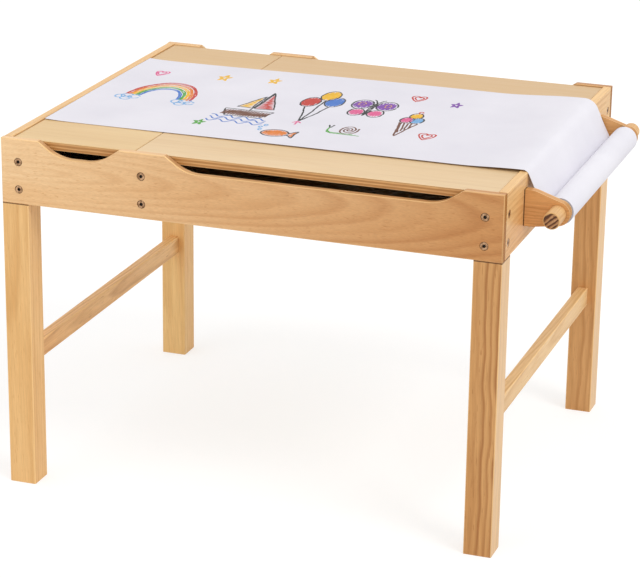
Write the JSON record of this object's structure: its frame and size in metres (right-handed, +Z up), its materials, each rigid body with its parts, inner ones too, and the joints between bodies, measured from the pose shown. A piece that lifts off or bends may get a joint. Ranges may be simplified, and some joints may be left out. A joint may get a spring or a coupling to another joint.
{
  "type": "activity table",
  "caption": "Wooden children's activity table on square legs, with lift-off lids over storage bins and a roll of drawing paper on a dowel at one end.",
  "frame": {"origin": "on the floor, under the middle of the overall box of the table and its roll holder", "axes": "+X from the left end towards the paper roll, +Y from the front to the back, +Z up"},
  "size_m": [0.795, 0.608, 0.525],
  "materials": {
    "pine_apron": "satin lacquered pine, long grain along the board",
    "pine_leg": "satin lacquered pine, upright grain",
    "pine_rail": "satin lacquered pine",
    "lid_board": "satin lacquered pale board",
    "floor_ply": "thin plywood",
    "bracket_wood": "satin lacquered pine",
    "dowel_wood": "satin lacquered dowel",
    "cardboard": "plain spiral-wound tube",
    "paper": "matt white drawing paper",
    "bolt_steel": "bronzed steel",
    "insert_zinc": "zinc plated",
    "screw_steel": "zinc plated"
  },
  "bodies": {
    "frame": {"front_apron": "pine_apron", "rear_apron": "pine_apron", "left_apron": "pine_apron", "right_apron": "pine_apron", "front_left_leg": "pine_leg", "front_right_leg": "pine_leg", "rear_left_leg": "pine_leg", "rear_right_leg": "pine_leg", "left_stretcher": "pine_rail", "right_stretcher": "pine_rail", "bin_divider": "pine_rail", "left_lid_cleat": "pine_rail", "divider_lid_cleat": "pine_rail", "right_lid_cleat": "pine_rail", "bin_floor": "floor_ply", "front_roll_bracket": "bracket_wood", "rear_roll_bracket": "bracket_wood", "stretcher_pins": "dowel_wood", "paper_sheet": "paper", "leg_bolts": "bolt_steel", "divider_bolts": "bolt_steel", "leg_inserts": "insert_zinc", "barrel_nuts": "insert_zinc", "bracket_screws": "screw_steel", "cleat_screws": "screw_steel"},
    "left_lid": {"left_lid": "lid_board"},
    "right_lid": {"right_lid": "lid_board"},
    "dowel": {"roll_dowel": "dowel_wood"},
    "paper_roll": {"paper_core": "cardboard", "paper_roll": "paper"}
  },
  "joints": [
    {"name": "left_lid_lift", "type": "slide", "parent": "frame", "child": "left_lid", "axis": [0, 0, 1], "range_m": [0, 0.15], "deforming": ["paper_sheet"]},
    {"name": "right_lid_lift", "type": "slide", "parent": "frame", "child": "right_lid", "axis": [0, 0, 1], "range_m": [0, 0.15], "deforming": ["paper_sheet"]},
    {"name": "dowel_pull", "type": "slide", "parent": "frame", "child": "dowel", "axis": [0, -1, 0], "range_m": [0, 0.46]},
    {"name": "paper_roll_turn", "type": "hinge", "parent": "frame", "child": "paper_roll", "pos_m": [0.3775, 0, 0.4706], "axis": [0, 1, 0], "continuous": true}
  ]
}
